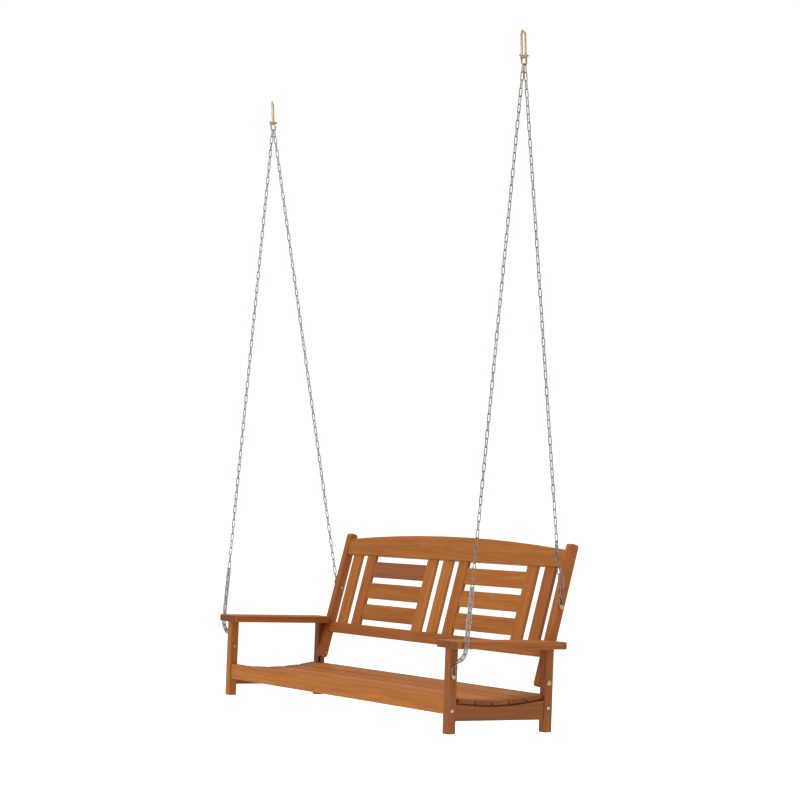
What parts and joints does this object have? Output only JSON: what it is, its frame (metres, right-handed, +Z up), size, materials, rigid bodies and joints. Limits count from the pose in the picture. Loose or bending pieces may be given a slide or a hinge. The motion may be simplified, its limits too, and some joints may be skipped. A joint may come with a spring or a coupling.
{
  "type": "porch swing",
  "caption": "Slatted hardwood bench with armrests and an arched back of slats and cross boards, hung by chains in clear sleeves from two steel loops; it swings forwards and back.",
  "frame": {"origin": "midway between the two hanging loops, on the line where ceiling hooks carry them", "axes": "+Z up, +Y towards the back of the bench, +X along the bench to the viewer's right from the front"},
  "size_m": [1.6769, 0.5392, 2.2117],
  "materials": {
    "hardwood": "oiled, straight grain",
    "hardwood_light": "oiled, straight grain",
    "hardwood_dark": "oiled, straight grain",
    "yellow_zinc_steel": "yellow passivated zinc plate",
    "bright_zinc_steel": "bright zinc plate",
    "clear_sleeve": "clear extruded tube"
  },
  "bodies": {
    "hanging_loops": {"hanging_loop_left": "yellow_zinc_steel", "hanging_loop_right": "yellow_zinc_steel"},
    "swing": {"armrest_left": "hardwood_light", "armrest_right": "hardwood_light", "back_board_left_1": "hardwood_dark", "back_board_left_2": "hardwood_dark", "back_board_left_3": "hardwood_dark", "back_board_right_1": "hardwood", "back_board_right_2": "hardwood", "back_board_right_3": "hardwood", "back_lower_rail": "hardwood", "back_slat_1": "hardwood", "back_slat_2": "hardwood", "back_slat_3": "hardwood", "back_slat_4": "hardwood", "back_slat_5": "hardwood", "back_slat_6": "hardwood", "back_slat_7": "hardwood", "centre_bearer": "hardwood_dark", "chain_front_left": "bright_zinc_steel", "chain_front_right": "bright_zinc_steel", "chain_rear_left": "bright_zinc_steel", "chain_rear_right": "bright_zinc_steel", "chain_sleeve_left": "clear_sleeve", "chain_sleeve_right": "clear_sleeve", "crest_rail": "hardwood_light", "front_rail": "hardwood", "hanger_bolt_front_left": "yellow_zinc_steel", "hanger_bolt_front_right": "yellow_zinc_steel", "hanger_bolt_rear_left": "yellow_zinc_steel", "hanger_bolt_rear_right": "yellow_zinc_steel", "hanger_nut_front_left": "bright_zinc_steel", "hanger_nut_front_right": "bright_zinc_steel", "hanger_nut_rear_left": "bright_zinc_steel", "hanger_nut_rear_right": "bright_zinc_steel", "hanger_ring_front_left": "bright_zinc_steel", "hanger_ring_front_right": "bright_zinc_steel", "hanger_ring_rear_left": "bright_zinc_steel", "hanger_ring_rear_right": "bright_zinc_steel", "post_front_left": "hardwood", "post_front_right": "hardwood", "post_rear_left": "hardwood", "post_rear_right": "hardwood", "rear_rail": "hardwood_dark", "seat_slat_1": "hardwood_light", "seat_slat_2": "hardwood_light", "seat_slat_3": "hardwood_light", "seat_slat_4": "hardwood_light", "seat_slat_5": "hardwood_light", "shackle_bow_left": "yellow_zinc_steel", "shackle_bow_right": "yellow_zinc_steel", "shackle_pin_left": "yellow_zinc_steel", "shackle_pin_right": "yellow_zinc_steel", "side_rail_left": "hardwood_dark", "side_rail_right": "hardwood_dark", "stile_bolt_left": "bright_zinc_steel", "stile_bolt_right": "bright_zinc_steel", "stile_left": "hardwood", "stile_right": "hardwood"}
  },
  "joints": [
    {"name": "swing", "type": "hinge", "parent": "hanging_loops", "child": "swing", "pos_m": [0, 0, -0.0815], "axis": [1, 0, 0], "range_deg": [-25, 25]}
  ]
}
